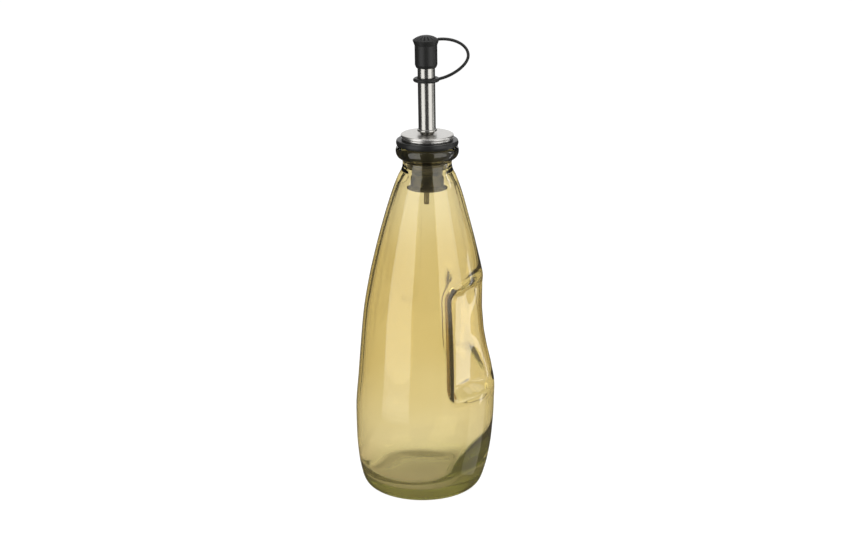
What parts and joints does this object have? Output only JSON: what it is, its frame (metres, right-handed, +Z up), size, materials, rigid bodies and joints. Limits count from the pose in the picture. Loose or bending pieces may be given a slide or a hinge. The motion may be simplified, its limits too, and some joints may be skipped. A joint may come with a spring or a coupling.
{
  "type": "oil pourer bottle",
  "caption": "Tinted glass oil bottle with a pressed finger grip, a rubber stopper, a slim steel pouring spout and a tethered rubber cap.",
  "frame": {"origin": "on the surface the bottle stands on, under the middle of the body", "axes": "+Z up along the bottle, +X towards the finger grip and the strap of the cap"},
  "size_m": [0.0802, 0.0798, 0.263],
  "materials": {
    "glass": "transparent amber tint, uneven wall",
    "stopper_rubber": "smooth black rubber",
    "plate_steel": "satin",
    "spout_steel": "polished stainless steel",
    "cap_rubber": "matt black rubber"
  },
  "bodies": {
    "root": {"glass_bottle": "glass", "rubber_stopper": "stopper_rubber", "steel_plate": "plate_steel", "steel_spout": "spout_steel", "air_tube": "spout_steel", "rubber_cap": "cap_rubber"}
  },
  "joints": []
}
